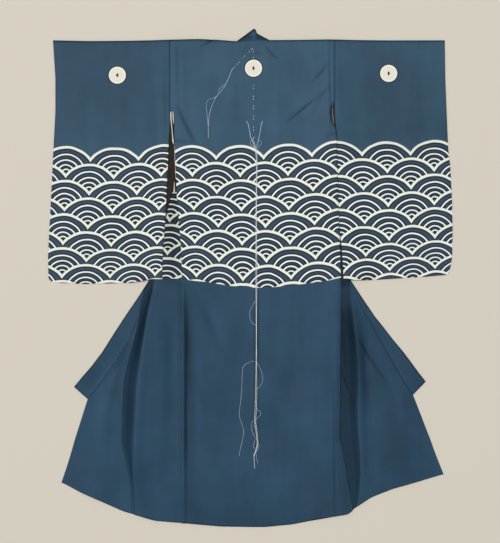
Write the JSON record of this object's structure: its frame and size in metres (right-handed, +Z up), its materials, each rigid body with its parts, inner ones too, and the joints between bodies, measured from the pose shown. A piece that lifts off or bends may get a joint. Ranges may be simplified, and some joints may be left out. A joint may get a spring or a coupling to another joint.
{
  "type": "kimono",
  "caption": "Small child's ceremonial silk kimono, spread flat with its back up, wide sleeves out to the sides and the fronts opened out below them.",
  "frame": {"origin": "middle of the box that holds the garment, on the surface that it lies on", "axes": "+Y from the hem to the collar, +X to the right as seen from above, +Z up from the surface to the back of the garment"},
  "size_m": [0.8289, 1.0212, 0.0192],
  "materials": {
    "indigo_silk": "plain-woven silk dyed dark indigo, with a resist-dyed band of waves",
    "brown_silk": "thin dark brown silk lining",
    "silk_thread": "twisted pale silk thread"
  },
  "bodies": {
    "root": {"back": "indigo_silk", "front_left": "indigo_silk", "front_right": "indigo_silk", "overlap_left": "indigo_silk", "overlap_right": "indigo_silk", "collar": "indigo_silk", "sleeve_left": "indigo_silk", "sleeve_right": "indigo_silk", "lining_left": "brown_silk", "thread_long": "silk_thread", "thread_side": "silk_thread", "thread_short": "silk_thread", "thread_end_left": "silk_thread", "thread_end_right": "silk_thread"}
  },
  "joints": []
}
